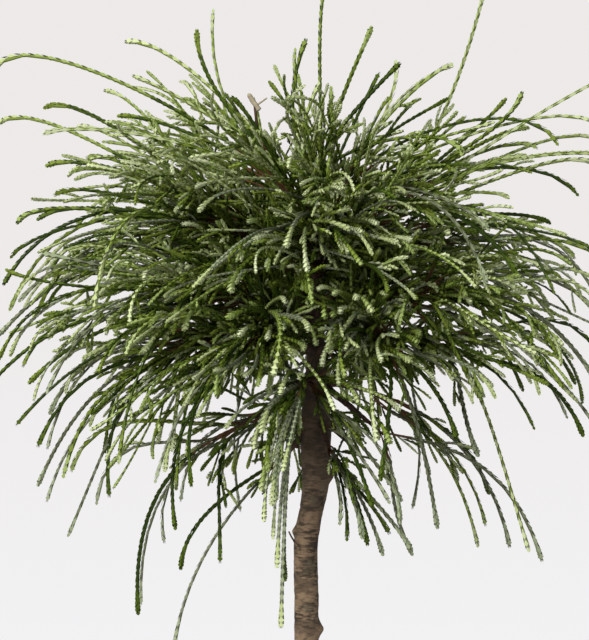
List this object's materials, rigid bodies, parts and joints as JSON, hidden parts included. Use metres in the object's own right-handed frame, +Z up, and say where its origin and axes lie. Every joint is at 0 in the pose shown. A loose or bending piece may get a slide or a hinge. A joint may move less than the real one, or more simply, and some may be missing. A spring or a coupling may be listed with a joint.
{
  "type": "western red cedar tree",
  "caption": "Western red cedar of the whipcord kind, grafted on a clear stem with a root flare, with a round mop head of arching cords of scale leaves.",
  "frame": {"origin": "middle of the flat cut under the trunk, at ground level", "axes": "+Z up along the trunk, +X to the right in the picture, which looks along +Y"},
  "size_m": [0.5357, 0.5038, 0.8999],
  "materials": {
    "bark": "rough bark, grey-brown",
    "bough_bark": "rough bark, red-brown",
    "foliage": "scale leaves, satin green"
  },
  "bodies": {
    "root": {"trunk": "bark", "spur": "bark", "skirt_bough_1": "bough_bark", "skirt_bough_2": "bough_bark", "skirt_bough_3": "bough_bark", "skirt_bough_4": "bough_bark", "lower_bough_1": "bough_bark", "lower_bough_2": "bough_bark", "lower_bough_3": "bough_bark", "lower_bough_4": "bough_bark", "lower_bough_5": "bough_bark", "middle_bough_1": "bough_bark", "middle_bough_2": "bough_bark", "middle_bough_3": "bough_bark", "middle_bough_4": "bough_bark", "middle_bough_5": "bough_bark", "middle_bough_6": "bough_bark", "upper_bough_1": "bough_bark", "upper_bough_2": "bough_bark", "upper_bough_3": "bough_bark", "upper_bough_4": "bough_bark", "upper_bough_5": "bough_bark", "upper_bough_6": "bough_bark", "high_bough_1": "bough_bark", "high_bough_2": "bough_bark", "high_bough_3": "bough_bark", "high_bough_4": "bough_bark", "top_bough_1": "bough_bark", "top_bough_2": "bough_bark", "skirt_foliage_1": "foliage", "skirt_foliage_2": "foliage", "skirt_foliage_3": "foliage", "skirt_foliage_4": "foliage", "lower_foliage_1": "foliage", "lower_foliage_2": "foliage", "lower_foliage_3": "foliage", "lower_foliage_4": "foliage", "lower_foliage_5": "foliage", "middle_foliage_1": "foliage", "middle_foliage_2": "foliage", "middle_foliage_3": "foliage", "middle_foliage_4": "foliage", "middle_foliage_5": "foliage", "middle_foliage_6": "foliage", "upper_foliage_1": "foliage", "upper_foliage_2": "foliage", "upper_foliage_3": "foliage", "upper_foliage_4": "foliage", "upper_foliage_5": "foliage", "upper_foliage_6": "foliage", "high_foliage_1": "foliage", "high_foliage_2": "foliage", "high_foliage_3": "foliage", "high_foliage_4": "foliage", "top_foliage_1": "foliage", "top_foliage_2": "foliage", "crest_foliage": "foliage"}
  },
  "joints": []
}
